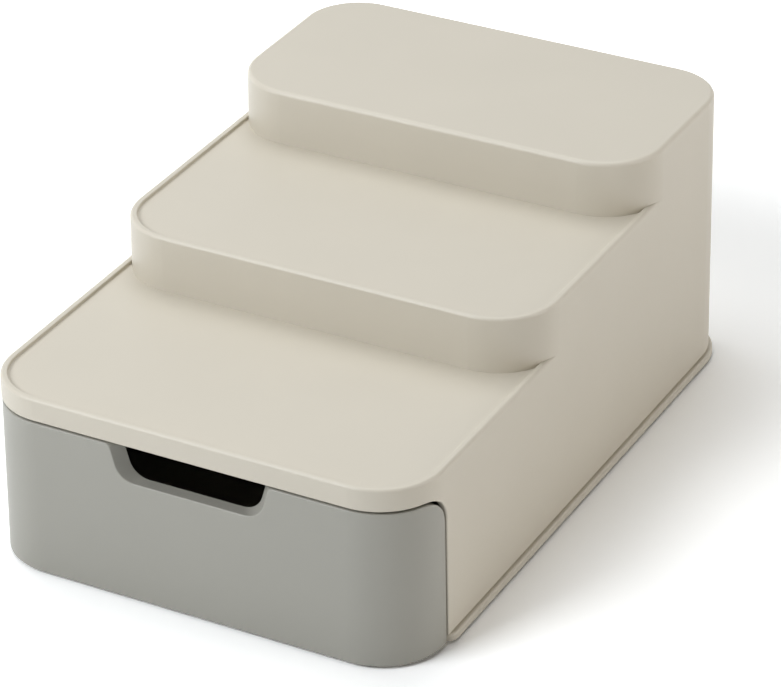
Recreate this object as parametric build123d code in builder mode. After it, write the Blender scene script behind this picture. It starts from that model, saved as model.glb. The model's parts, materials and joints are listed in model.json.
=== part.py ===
from build123d import *
from math import radians, tan
import os

os.makedirs("parts", exist_ok=True)

# Overall size of the housing; the foot flange stands proud of it at the sides and the back
width = 200.0
depth = 306.0
height = 130.0
wall = 2.5

# Plan corners of every tier at its foot, and the mould draft of every upright face in degrees
front_corner = 28.5
rear_corner = 26.8
draft = 0.63

# Steps: depth of the two lower treads, and the rise from each tread to the next
lower_tread = 102.5
middle_tread = 100.4
step_rise = 23.5
band_height = 10.1

# Raised rim round the two lower treads, and the rounded edges
rim_width = 3.0
rim_height = 1.6
rim_edge = 1.4
pan_edge = 0.5
top_edge = 2.0

# Stiffening ribs under the treads
rib_thickness = 1.8
rib_height = 5.0
rib_spacing = 70.0

# Base plate and its flange
plate_thickness = 3.0
flange = 1.8
flange_edge = 1.1
flange_end_radius = 5.0
shadow_chamfer = 0.7

# Soft feet, seated in shallow round recesses of the base plate
foot_radius = 7.0
foot_show = 1.2
foot_recess = 0.9
front_foot_inset = 15.0
rear_foot_inset = 45.0
foot_edge = 0.4

# Self-tapping screws from the base plate into bosses beside the drawer
boss_radius = 4.4
boss_height = 15.0
boss_bite = 0.5
pad_height = 3.0
base_screw_radius = 1.45
base_screw_length = 14.0
base_head_radius = 2.8
base_head_height = 1.8
thread_clearance = 0.05
screw_hole_clearance = 0.2
head_clearance = 0.3
pilot_spare = 1.5

# Drawer front, which wraps both front corners
front_wall = 2.5
front_inset = 0.3
wing_depth = 30.0
wing_gap = 0.9
wing_corner = 14.0
drawer_top_gap = 1.2
front_floor_gap = 1.2
front_edge = 0.6

# Two places closer than this are the same
touch = 0.01

# Finger cut-out and its lip; its widths lie on the upright plane through the foot of the front
mouth_width = 74.0
mouth_floor = 65.0
mouth_depth = 15.5
mouth_corner = 9.0
mouth_shoulder = 2.5
mouth_narrowing = 4.1
lip_depth = 5.6
lip_wall = 3.0
lip_gap = 0.3
tray_mouth_clearance = 5.0

# Drawer tray
tray_wall = 2.2
tray_floor = 2.2
tray_top_clearance = 6.0
tray_side_clearance = 1.0
tray_rear_clearance = 6.0
tray_corner = 8.0
tray_inner_edge = 1.5
catch_height = 4.5
catch_inset = 14.0

# Screws from inside the tray into bosses of the drawer front
front_boss_radius = 3.6
front_boss_spacing_x = 130.0
front_boss_spacing_z = 34.0
front_boss_height = 18.0
front_screw_radius = 1.3
front_head_radius = 2.6
front_head_height = 1.6
front_pilot_skin = 1.8

# Rounded head edge and cross recess of every screw
head_edge = 0.6
cross_length = 2.6
cross_width = 0.7
cross_depth = 1.0

# Runners, stops and travel
runner_height = 1.2
runner_width = 3.0
runner_spacing = 120.0
running_gap = 0.3
stop_gap = 0.3
stop_thickness = 3.0
stop_height = 10.0
catch_overlap = 2.6
catch_rib_width = 110.0
catch_rib_setback = 7.7

# Places worked out from the sizes above; the floor is Z 0 and the whole is centred on X and Y
front = -(depth + flange + front_inset) / 2
back = front + depth
side_front = front + wing_depth + wing_gap
plate_bottom = foot_show
plate_top = plate_bottom + plate_thickness
tier_tops = [height - 2 * step_rise, height - step_rise, height]
tier_fronts = [front, front + lower_tread, front + lower_tread + middle_tread]
rib_ends = [tier_fronts[1] + wall, tier_fronts[2] + wall, back - wall]
band_bottom = tier_tops[0] - band_height
lower_underside = tier_tops[0] - rim_height - wall


def drawn_in(z):
    """How far the draft has drawn an upright outer face in at one height."""
    return (z - plate_top) * tan(radians(draft))


screw_x = width / 2 - wall - boss_radius + boss_bite
screw_ys = [side_front + front_foot_inset, back - rear_foot_inset]
foot_places = [(x, y) for y in screw_ys for x in (-screw_x, screw_x)]
foot_names = ["foot_front_left", "foot_front_right", "foot_rear_left", "foot_rear_right"]
recess_top = plate_bottom + foot_recess
head_seat = recess_top + base_head_height
pad_top = plate_top + pad_height

front_face = front + front_inset
front_inner = front_face + front_wall
drawer_top = band_bottom - drawer_top_gap
lip_end = front_face + drawn_in(drawer_top) + lip_depth
tray_front = lip_end + lip_gap
tray_half = screw_x - boss_radius - tray_side_clearance
tray_back = back - wall - tray_rear_clearance
runner_top = plate_top + runner_height
tray_bottom = runner_top + running_gap
tray_top = band_bottom - tray_top_clearance
catch_top = tray_top + catch_height
catch_rib_bottom = catch_top - catch_overlap
catch_rib_back = tier_fronts[1] - catch_rib_setback
front_boss_places = [
    (x, front_boss_height + dz)
    for x in (-front_boss_spacing_x / 2, front_boss_spacing_x / 2)
    for dz in (0, front_boss_spacing_z)
]


def plan_outline(front_y, inset, z=plate_top):
    """Plan of the body at one height, from one front line to the back, drawn in by an inset."""
    total = inset + drawn_in(z)
    with BuildSketch() as outline:
        with Locations((0, (front_y + back) / 2)):
            Rectangle(width - 2 * total, back - front_y - 2 * total)
        fillet(outline.vertices().group_by(Axis.Y)[-1], rear_corner - total)
        fillet(outline.vertices().group_by(Axis.Y)[0], front_corner - total)
    return outline.sketch


def side_profile(end_y, bottom, top, corner):
    """Side view of the space in front of a line, with its upper rear corner rounded."""
    with BuildSketch() as profile:
        with Locations(((front - wall + end_y) / 2, (bottom + top) / 2)):
            Rectangle(end_y - front + wall, top - bottom)
        fillet(profile.vertices().group_by(Axis.X)[-1].sort_by(Axis.Y)[-1], corner)
    return profile.sketch


def mouth_outline(narrowing, grow=0.0):
    """Front view of the finger cut-out, open at the top, with rounded shoulders."""
    top_half = mouth_width / 2 - narrowing + grow
    floor_half = mouth_floor / 2 - narrowing + grow
    floor_z = drawer_top - mouth_depth - grow
    wide = top_half + 3 * mouth_shoulder
    with BuildSketch() as outline:
        with BuildLine():
            Polyline(
                (-wide, drawer_top),
                (-top_half, drawer_top),
                (-floor_half, floor_z),
                (floor_half, floor_z),
                (top_half, drawer_top),
                (wide, drawer_top),
                (wide, drawer_top + wall),
                (-wide, drawer_top + wall),
                close=True,
            )
        make_face()
        fillet(outline.vertices().group_by(Axis.Y)[0], mouth_corner + grow)
        fillet(outline.vertices().group_by(Axis.Y)[-2].sort_by(Axis.X)[1:3], mouth_shoulder)
    return outline.sketch


def skin_edges(part, inset, end_y, top):
    """Edges on the upright outer skin of a part that bound it in front of a line, below a top."""
    foot_line = plan_outline(front, 0).wire()

    def on_skin(point):
        in_from_foot = foot_line.distance_to(Vertex(point.X, point.Y, 0))
        return abs(in_from_foot - inset - drawn_in(point.Z)) < touch

    def bounds_skin(edge):
        box = edge.bounding_box()
        upright = box.size.Z > box.size.X + box.size.Y
        inside = box.max.Y < end_y + touch and box.max.Z < top + touch
        along = all(on_skin(edge @ part_way) for part_way in (0, 0.5, 1))
        return inside and along and not (upright and box.max.Y < end_y - touch)

    return part.edges().filter_by(bounds_skin)


# One tier after another: a rounded block, its tread sunk inside a raised rim
with BuildPart() as tiered_housing:
    for tier_front, tier_top in zip(tier_fronts, tier_tops):
        is_top = tier_top == height
        with BuildPart(mode=Mode.PRIVATE) as tier:
            with BuildSketch(Plane.XY.offset(plate_top)):
                add(plan_outline(tier_front, 0))
            extrude(amount=tier_top - plate_top, taper=draft)
            fillet(tier.faces().sort_by(Axis.Z)[-1].edges(), top_edge if is_top else rim_edge)
            chamfer(tier.faces().sort_by(Axis.Z)[0].edges(), shadow_chamfer)
            if not is_top:
                with BuildSketch(Plane.XY.offset(tier_top)):
                    add(plan_outline(tier_front, rim_width, tier_top))
                extrude(amount=-rim_height, mode=Mode.SUBTRACT)
                fillet(tier.faces().sort_by(Axis.Z)[-1].inner_wires().edges(), pan_edge)
                fillet(tier.faces().filter_by(Axis.Z).sort_by(Axis.Z)[-2].edges(), pan_edge)
        add(tier.part)

    # Hollow inside every tier, open at the foot
    for tier_front, tier_top in zip(tier_fronts, tier_tops):
        sunk = 0 if tier_top == height else rim_height
        with BuildSketch(Plane.XY.offset(plate_top)):
            add(plan_outline(tier_front, wall))
        extrude(amount=tier_top - sunk - wall - plate_top, taper=draft, mode=Mode.SUBTRACT)

    # Ribs under the treads, each from its riser to the next one or to the back
    for tier_front, rib_end, tier_top in zip(tier_fronts, rib_ends, tier_tops):
        sunk = 0 if tier_top == height else rim_height
        with BuildSketch(Plane.XY.offset(tier_top - sunk - wall)):
            with Locations((0, (tier_front + wall + rib_end) / 2)):
                with GridLocations(rib_spacing, 0, 2, 1):
                    Rectangle(rib_thickness, rib_end - tier_front - wall)
        extrude(amount=-rib_height)

    # Bay for the drawer front, which takes away both front corners under the band
    with BuildSketch(Plane.YZ):
        add(side_profile(side_front, plate_top, band_bottom, wing_corner))
    extrude(amount=width, both=True, mode=Mode.SUBTRACT)
    fillet(skin_edges(tiered_housing, 0, side_front, band_bottom), front_edge)

    # Bosses for the base screws, standing on the pads of the base plate
    for x, y in foot_places:
        with BuildSketch(Plane.XY.offset(pad_top)):
            with Locations((x, y)):
                Circle(boss_radius)
        extrude(amount=boss_height)
        with BuildSketch(Plane.XY.offset(plate_top)):
            with Locations((x, y)):
                Circle(boss_radius + head_clearance)
        extrude(amount=pad_height, mode=Mode.SUBTRACT)
        with BuildSketch(Plane.XY.offset(pad_top)):
            with Locations((x, y)):
                Circle(base_screw_radius + thread_clearance)
        extrude(amount=base_screw_length - (pad_top - head_seat) + pilot_spare, mode=Mode.SUBTRACT)

    # Rib under the lower tread that catches the back of the tray at full travel
    with BuildSketch(Plane.XY.offset(lower_underside)):
        with Locations((0, catch_rib_back - wall / 2)):
            Rectangle(catch_rib_width, wall)
    extrude(amount=catch_rib_bottom - lower_underside)
tiered_housing.part.label = "tiered_housing"
export_step(tiered_housing.part, "parts/tiered_housing.step")

# Bottom cover: narrow behind the drawer front, then as wide as its flange
plate_inset = front_inner - front + wing_gap
with BuildPart() as base_plate:
    with BuildSketch(Plane.XY.offset(plate_bottom)) as plate:
        add(plan_outline(front, -flange))
        with Locations((0, side_front - depth / 2)):
            Rectangle(2 * width, depth, mode=Mode.SUBTRACT)
        fillet(plate.vertices().group_by(Axis.Y)[0], flange_end_radius)
        add(plan_outline(front, plate_inset))
    extrude(amount=plate_thickness)
    outer_edges = base_plate.faces().sort_by(Axis.Z)[-1].edges().filter_by(
        lambda edge: edge.bounding_box().max.Y > side_front + flange_end_radius
    )
    fillet(outer_edges, flange_edge)

    # Pads that meet the bosses, runners, and stops behind the tray
    with BuildSketch(Plane.XY.offset(plate_top)):
        with Locations(foot_places):
            Circle(boss_radius)
    extrude(amount=pad_height)
    runner_front = front + plate_inset + front_wall
    with BuildSketch(Plane.XY.offset(plate_top)):
        with Locations((0, (runner_front + tray_back) / 2)):
            with GridLocations(runner_spacing, 0, 2, 1):
                Rectangle(runner_width, tray_back - runner_front)
    extrude(amount=runner_height)
    with BuildSketch(Plane.XY.offset(plate_top)):
        with Locations((0, tray_back + stop_gap + stop_thickness / 2)):
            with GridLocations(runner_spacing, 0, 2, 1):
                Rectangle(2 * stop_height, stop_thickness)
    extrude(amount=stop_height)

    # Foot recesses, screw-head seats and screw holes from below
    with Locations(*[(x, y, plate_bottom) for x, y in foot_places]):
        with Locations(Location((0, 0, 0), (180, 0, 0))):
            CounterBoreHole(
                base_screw_radius + screw_hole_clearance,
                base_head_radius + head_clearance,
                head_seat - plate_bottom,
                pad_top - plate_bottom,
            )
    with BuildSketch(Plane.XY.offset(plate_bottom)):
        with Locations(foot_places):
            Circle(foot_radius)
    extrude(amount=foot_recess, mode=Mode.SUBTRACT)
base_plate.part.label = "base_plate"
export_step(base_plate.part, "parts/base_plate.step")

# Soft round feet, flush in their recesses
for (x, y), foot_name in zip(foot_places, foot_names):
    with BuildPart() as foot:
        with BuildSketch():
            with Locations((x, y)):
                Circle(foot_radius - thread_clearance)
        extrude(amount=recess_top)
        fillet(foot.faces().sort_by(Axis.Z)[0].edges(), foot_edge)
    foot.part.label = foot_name
    export_step(foot.part, f"parts/{foot_name}.step")

# Pan-head screws that hold the base plate to the housing
with BuildPart() as base_screws:
    with BuildSketch(Plane.XY.offset(recess_top)):
        with Locations(foot_places):
            Circle(base_head_radius)
    extrude(amount=base_head_height)
    fillet(base_screws.faces().group_by(Axis.Z)[0].edges(), head_edge)
    with BuildSketch(Plane.XY.offset(recess_top)):
        with Locations(foot_places):
            Rectangle(cross_length, cross_width)
            Rectangle(cross_width, cross_length)
    extrude(amount=cross_depth, mode=Mode.SUBTRACT)
    with BuildSketch(Plane.XY.offset(head_seat)):
        with Locations(foot_places):
            Circle(base_screw_radius)
    extrude(amount=base_screw_length)
base_screws.part.label = "base_screws"
export_step(base_screws.part, "parts/base_screws.step")

# Drawer front: a thin wall that wraps both corners, with a deep lip round the finger cut-out
with BuildPart() as drawer_front:
    with BuildSketch(Plane.XY.offset(front_floor_gap)):
        add(plan_outline(front, front_inset, front_floor_gap))
    extrude(amount=drawer_top - front_floor_gap, taper=draft)
    with BuildSketch(Plane.XY.offset(front_floor_gap)):
        add(plan_outline(front, front_inset + front_wall, front_floor_gap))
    extrude(amount=drawer_top - front_floor_gap, taper=draft, mode=Mode.SUBTRACT)
    with BuildSketch(Plane.YZ):
        add(side_profile(front + wing_depth, front_floor_gap, drawer_top, wing_corner))
    extrude(amount=width, both=True, mode=Mode.INTERSECT)

    # Lip behind the cut-out, then the cut-out itself, which narrows inwards
    with BuildSketch(Plane.XZ.offset(-front_inner)):
        with Locations((0, drawer_top - (mouth_depth + lip_wall) / 2)):
            Rectangle(mouth_width + 2 * lip_wall, mouth_depth + lip_wall)
    extrude(amount=-(lip_end - front_inner))
    with BuildSketch(Plane.XZ.offset(-front_inner)):
        with Locations(front_boss_places):
            Circle(front_boss_radius)
    extrude(amount=-(tray_front - front_inner))
    with BuildSketch(Plane.XZ.offset(-front_face)):
        add(mouth_outline(0))
    with BuildSketch(Plane.XZ.offset(-lip_end)):
        add(mouth_outline(mouth_narrowing))
    loft(mode=Mode.SUBTRACT)

    fillet(skin_edges(drawer_front, front_inset, front + wing_depth, drawer_top), front_edge)

    # Pilot holes for the screws that come through the tray
    with BuildSketch(Plane.XZ.offset(-tray_front)):
        with Locations(front_boss_places):
            Circle(front_screw_radius + thread_clearance)
    extrude(amount=tray_front - front_face - front_pilot_skin, mode=Mode.SUBTRACT)
drawer_front.part.label = "drawer_front"
export_step(drawer_front.part, "parts/drawer_front.step")

# Tray: open at the top, its front wall cut away behind the finger cut-out
with BuildPart() as drawer_tray:
    with BuildSketch(Plane.XY.offset(tray_bottom)) as tray_plan:
        with Locations((0, (tray_front + tray_back) / 2)):
            Rectangle(2 * tray_half, tray_back - tray_front)
        fillet(tray_plan.vertices(), tray_corner)
    extrude(amount=tray_top - tray_bottom)
    inside = offset(tray_plan.sketch, amount=-tray_wall, mode=Mode.PRIVATE)

    # Raised back that meets the catch rib at full travel
    with BuildSketch(Plane.XY.offset(tray_top)):
        with Locations((0, tray_back - tray_wall / 2)):
            Rectangle(2 * (tray_half - catch_inset), tray_wall)
    extrude(amount=catch_height)
    extrude(inside.moved(Location((0, 0, tray_floor))), amount=tray_top, mode=Mode.SUBTRACT)
    floor_edges = drawer_tray.faces().filter_by(Axis.Z).group_by(Axis.Z)[1].edges()
    fillet(floor_edges, tray_inner_edge)

    # Opening behind the finger cut-out, and clearance holes for the front screws
    with BuildSketch(Plane.XZ.offset(-tray_front)):
        add(mouth_outline(0, tray_mouth_clearance))
    extrude(amount=-tray_wall, mode=Mode.SUBTRACT)
    with BuildSketch(Plane.XZ.offset(-tray_front)):
        with Locations(front_boss_places):
            Circle(front_screw_radius + screw_hole_clearance)
    extrude(amount=-tray_wall, mode=Mode.SUBTRACT)
drawer_tray.part.label = "drawer_tray"
export_step(drawer_tray.part, "parts/drawer_tray.step")

# Pan-head screws that hold the drawer front to the tray
with BuildPart() as front_screws:
    with BuildSketch(Plane.XZ.offset(-(tray_front + tray_wall))):
        with Locations(front_boss_places):
            Circle(front_head_radius)
    extrude(amount=-front_head_height)
    fillet(front_screws.faces().group_by(Axis.Y)[-1].edges(), head_edge)
    with BuildSketch(Plane.XZ.offset(-(tray_front + tray_wall + front_head_height))):
        with Locations(front_boss_places):
            Rectangle(cross_length, cross_width)
            Rectangle(cross_width, cross_length)
    extrude(amount=cross_depth, mode=Mode.SUBTRACT)
    with BuildSketch(Plane.XZ.offset(-(tray_front + tray_wall))):
        with Locations(front_boss_places):
            Circle(front_screw_radius)
    extrude(amount=tray_front + tray_wall - front_face - front_pilot_skin - thread_clearance)
front_screws.part.label = "front_screws"
export_step(front_screws.part, "parts/front_screws.step")
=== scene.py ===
import json
import math

import bpy
from mathutils import Matrix, Vector


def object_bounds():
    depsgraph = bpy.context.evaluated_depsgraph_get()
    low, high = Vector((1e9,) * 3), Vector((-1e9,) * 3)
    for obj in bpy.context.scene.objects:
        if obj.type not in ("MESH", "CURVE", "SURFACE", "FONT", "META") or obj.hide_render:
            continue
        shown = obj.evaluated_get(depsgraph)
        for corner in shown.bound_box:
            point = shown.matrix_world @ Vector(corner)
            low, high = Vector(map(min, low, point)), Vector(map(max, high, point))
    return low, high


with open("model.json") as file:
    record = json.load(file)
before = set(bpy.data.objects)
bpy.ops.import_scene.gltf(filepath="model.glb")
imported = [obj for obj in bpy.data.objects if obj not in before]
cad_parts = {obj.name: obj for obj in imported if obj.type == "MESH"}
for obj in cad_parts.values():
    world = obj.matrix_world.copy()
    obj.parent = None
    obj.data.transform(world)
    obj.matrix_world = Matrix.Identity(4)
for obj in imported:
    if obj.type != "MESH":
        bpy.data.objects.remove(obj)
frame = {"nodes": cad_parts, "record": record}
cad_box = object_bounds()

MM = 0.001

# The camera, in millimetres and degrees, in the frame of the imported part
PICTURE_WIDTH = 781
SENSOR = 36.0
FOCAL_PIXELS = 3857.166
TURN = 28.232
TILT = 29.991
ROLL = -0.592
DISTANCE = 1665.637
TARGET = (-2.136, 20.698, 37.548)

# Studio, in metres and watts
FLOOR_SIZE = 5.0
FAR_CLIP = 50.0
COOL = "F8FBFF"
PALE = "FBFDFF"
WARM = "FFFAF4"
LIGHTS = {
    "front_left_light": {"place": (-0.8, -1.3, 1.2), "size": 0.9, "power": 27.2, "colour": COOL},
    "top_light": {"place": (-0.3, 0.4, 1.8), "size": 1.4, "power": 20.6, "colour": PALE},
    "left_light": {"place": (-1.5, 0.6, 0.9), "size": 0.8, "power": 1.4, "colour": PALE},
    "right_light": {"place": (1.7, 0.2, 0.35), "size": 0.7, "power": 9.4, "colour": WARM},
    "rear_right_light": {"place": (1.3, 1.1, 0.7), "size": 0.8, "power": 1.4, "colour": WARM},
}
SURROUND = 0.01

# How much the floor is whitened for the eye, and how far from its middle that gain has grown fourfold
FLOOR_GAIN = 1.37
FALL_OFF = 1.2

# Colours of the pieces and of the studio floor
STONE = "CDC6B7"
GREY = "9F9D94"
RUBBER = "3A3A38"
STEEL = "B9BBBD"
FLOOR = "F4F4F3"
WHITE = "FFFFFF"

# Mould grain and flow of the polypropylene, in millimetres. Real spark-eroded grain is near 0.1 mm wide, too
# fine for this picture, so it is drawn wider. The flow darkens and lightens the colour by these factors.
GRAIN_WIDTH = 0.6
GRAIN_RELIEF = 0.03
GRAIN_STRENGTH = 0.35
FLOW_WIDTH = 45.0
FLOW_DARK = 0.975
FLOW_LIGHT = 1.02
PLASTIC_ROUGHNESS = (0.36, 0.48)
PLASTIC_IOR = 1.49

# Skin of the moulded rubber, in millimetres, drawn wider for the same reason
RUBBER_GRAIN = 0.8
RUBBER_RELIEF = 0.05
RUBBER_STRENGTH = 0.4
RUBBER_ROUGHNESS = 0.8
RUBBER_IOR = 1.5

# Crystals of the zinc plating on the screws, in millimetres, also drawn wider
ZINC_GRAIN = 0.5
ZINC_ROUGHNESS = (0.28, 0.45)

# How finely each noise is broken up, from a smooth drift to a crisp grain
SMOOTH = 2.0
CRISP = 3.0

# Colour sockets of a Mix node, which are found by number because their names repeat
MIX_A, MIX_B, MIX_RESULT = 6, 7, 2


def linear(hex_colour):
    """An sRGB hex colour as linear red, green, blue and alpha."""
    parts = [int(hex_colour[i:i + 2], 16) / 255 for i in (0, 2, 4)]
    return tuple(c / 12.92 if c <= 0.04045 else ((c + 0.055) / 1.055) ** 2.4 for c in parts) + (1.0,)


def node(tree, kind, inputs=None, **settings):
    """One node with its settings, its values and its links."""
    made = tree.nodes.new(kind)
    for name, value in settings.items():
        setattr(made, name, value)
    for name, value in (inputs or {}).items():
        if isinstance(value, bpy.types.NodeSocket):
            tree.links.new(value, made.inputs[name])
        else:
            made.inputs[name].default_value = value
    return made


def new_material(name):
    """A material without nodes, and the tree that they are put in."""
    material = bpy.data.materials.new(name)
    material.use_nodes = True
    tree = material.node_tree
    tree.nodes.clear()
    return material, tree


def noise(tree, width, detail):
    """Noise on the piece's own coordinates whose lumps are as wide as a size in millimetres."""
    place = node(tree, "ShaderNodeTexCoord").outputs["Object"]
    lumps = node(tree, "ShaderNodeTexNoise", {"Vector": place, "Scale": 1 / (width * MM), "Detail": detail})
    return lumps.outputs["Fac"]


def raised(tree, height, strength, relief):
    """Surface direction of a grain that stands as high as a size in millimetres."""
    bump = node(tree, "ShaderNodeBump", {"Height": height, "Strength": strength, "Distance": relief * MM})
    return bump.outputs["Normal"]


def between(tree, value, limits):
    """A value from 0 to 1, spread between two limits."""
    low, high = limits
    return node(tree, "ShaderNodeMapRange", {"Value": value, "To Min": low, "To Max": high}).outputs["Result"]


def moulded_polypropylene(name, hex_colour):
    """Polypropylene, injection-moulded in a spark-eroded mould.

    The fine grain makes broad faces look nearly matt and faintly waxy, with a soft wide sheen along the
    rounded edges. The flow of the plastic in the mould shows as a very faint drift of tone.
    """
    material, tree = new_material(name)
    grain = noise(tree, GRAIN_WIDTH, CRISP)
    flow = noise(tree, FLOW_WIDTH, SMOOTH)
    base = Vector(linear(hex_colour))
    tone = node(tree, "ShaderNodeMix", {
        "Factor": flow, MIX_A: base * FLOW_DARK, MIX_B: base * FLOW_LIGHT,
    }, data_type="RGBA")
    bump = raised(tree, grain, GRAIN_STRENGTH, GRAIN_RELIEF)
    shader = node(tree, "ShaderNodeBsdfPrincipled", {
        "Base Color": tone.outputs[MIX_RESULT],
        "Roughness": between(tree, grain, PLASTIC_ROUGHNESS),
        "Normal": bump,
        "IOR": PLASTIC_IOR,
    })
    node(tree, "ShaderNodeOutputMaterial", {"Surface": shader.outputs["BSDF"]})
    return material


def soft_rubber(name):
    """Thermoplastic rubber, moulded: dark grey and dull, with hardly a highlight."""
    material, tree = new_material(name)
    shader = node(tree, "ShaderNodeBsdfPrincipled", {
        "Base Color": linear(RUBBER),
        "Roughness": RUBBER_ROUGHNESS,
        "Normal": raised(tree, noise(tree, RUBBER_GRAIN, SMOOTH), RUBBER_STRENGTH, RUBBER_RELIEF),
        "IOR": RUBBER_IOR,
    })
    node(tree, "ShaderNodeOutputMaterial", {"Surface": shader.outputs["BSDF"]})
    return material


def zinc_steel(name):
    """Zinc-plated steel: bright cool metal whose plating blurs its reflections a little unevenly."""
    material, tree = new_material(name)
    shader = node(tree, "ShaderNodeBsdfPrincipled", {
        "Base Color": linear(STEEL),
        "Metallic": 1.0,
        "Roughness": between(tree, noise(tree, ZINC_GRAIN, SMOOTH), ZINC_ROUGHNESS),
    })
    node(tree, "ShaderNodeOutputMaterial", {"Surface": shader.outputs["BSDF"]})
    return material


def dress():
    """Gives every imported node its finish."""
    stone = moulded_polypropylene("stone_moulded_polypropylene", STONE)
    grey = moulded_polypropylene("grey_moulded_polypropylene", GREY)
    rubber = soft_rubber("moulded_soft_rubber")
    steel = zinc_steel("zinc_plated_screw_steel")
    finishes = {"stone_plastic": stone, "grey_plastic": grey, "foot_rubber": rubber, "screw_steel": steel}
    slots = {row["node"]: row["material_slot"] for row in frame["record"]["subparts"]}
    for name, piece in frame["nodes"].items():
        piece.data.materials.clear()
        piece.data.materials.append(finishes[slots[name]])


def seen_by_eye(tree):
    """1 where the camera looks, straight or through a reflection or a clear piece, and 0 elsewhere."""
    path = node(tree, "ShaderNodeLightPath")
    seen = path.outputs["Is Camera Ray"]
    for ray in ("Is Glossy Ray", "Is Transmission Ray"):
        either = node(tree, "ShaderNodeMath", {0: seen, 1: path.outputs[ray]}, operation="MAXIMUM")
        seen = either.outputs["Value"]
    return seen


def white_floor():
    """A plain pale floor, shown white to the eye, which keeps the caddy's shadow.

    Matt studio board: no highlight, only the soft shadow. What the eye sees of it is brightened, and more so
    further out, where the light falls off.
    """
    bpy.ops.mesh.primitive_plane_add(size=FLOOR_SIZE)
    floor = bpy.context.object
    floor.name = "studio_floor"
    material, tree = new_material("matt_white_floor")
    place = node(tree, "ShaderNodeTexCoord").outputs["Object"]
    far = node(tree, "ShaderNodeVectorMath", {0: place, 1: place}, operation="DOT_PRODUCT").outputs["Value"]
    spread = node(tree, "ShaderNodeMath", {0: far, 1: FALL_OFF ** -2, 2: 1.0}, operation="MULTIPLY_ADD")
    squared = node(tree, "ShaderNodeMath", {0: spread.outputs["Value"], 1: 2.0}, operation="POWER")
    lifted = node(tree, "ShaderNodeMath", {0: squared.outputs["Value"], 1: FLOOR_GAIN}, operation="MULTIPLY")
    gain = between(tree, seen_by_eye(tree), (1.0, lifted.outputs["Value"]))
    shade = node(tree, "ShaderNodeVectorMath", {0: linear(FLOOR)[:3], "Scale": gain}, operation="SCALE")
    matt = node(tree, "ShaderNodeBsdfDiffuse", {"Color": shade.outputs["Vector"]})
    node(tree, "ShaderNodeOutputMaterial", {"Surface": matt.outputs["BSDF"]})
    floor.data.materials.append(material)


def soft_box(name, place, size, power, colour):
    """A square area light that points at the middle of the caddy."""
    aim = (0, 0, (cad_box[0][2] + cad_box[1][2]) / 2)
    lamp = bpy.data.lights.new(name, "AREA")
    lamp.shape = "SQUARE"
    lamp.size = size
    lamp.energy = power
    lamp.color = linear(colour)[:3]
    stand = bpy.data.objects.new(name, lamp)
    stand.location = place
    stand.rotation_euler = (Vector(aim) - Vector(place)).to_track_quat("-Z", "Y").to_euler()
    bpy.context.scene.collection.objects.link(stand)


def light_studio():
    """Large soft boxes: strong at the front left and above, weaker round the rest, in a dim surround."""
    for name, light in LIGHTS.items():
        soft_box(name, **light)
    world = bpy.data.worlds.new("studio_surround")
    world.use_nodes = True
    tree = world.node_tree
    tree.nodes.clear()
    level = between(tree, seen_by_eye(tree), (SURROUND, 1.0))
    sky = node(tree, "ShaderNodeBackground", {"Color": linear(WHITE), "Strength": level})
    node(tree, "ShaderNodeOutputWorld", {"Surface": sky.outputs["Background"]})
    bpy.context.scene.world = world


def set_camera():
    """The photograph's view: a long lens from the front right, well above the caddy."""
    turn, tilt, roll = (math.radians(a) for a in (TURN, TILT, ROLL))
    back = Vector((math.sin(turn) * math.cos(tilt), -math.cos(turn) * math.cos(tilt), math.sin(tilt)))
    target = Vector(TARGET) * MM
    right = Vector((0, 0, 1)).cross(back).normalized()
    up = back.cross(right)
    rolled_right = math.cos(roll) * right + math.sin(roll) * up
    rolled_up = math.cos(roll) * up - math.sin(roll) * right
    lens = bpy.data.cameras.new("photo_camera")
    lens.sensor_width = SENSOR
    lens.lens = FOCAL_PIXELS * SENSOR / PICTURE_WIDTH
    lens.clip_end = FAR_CLIP
    camera = bpy.data.objects.new("photo_camera", lens)
    turned = Matrix((rolled_right, rolled_up, back)).transposed().to_4x4()
    camera.matrix_world = Matrix.Translation(target + back * DISTANCE * MM) @ turned
    bpy.context.scene.collection.objects.link(camera)
    bpy.context.scene.camera = camera


bpy.context.scene.view_settings.view_transform = "Standard"
set_camera()
dress()
white_floor()
light_studio()
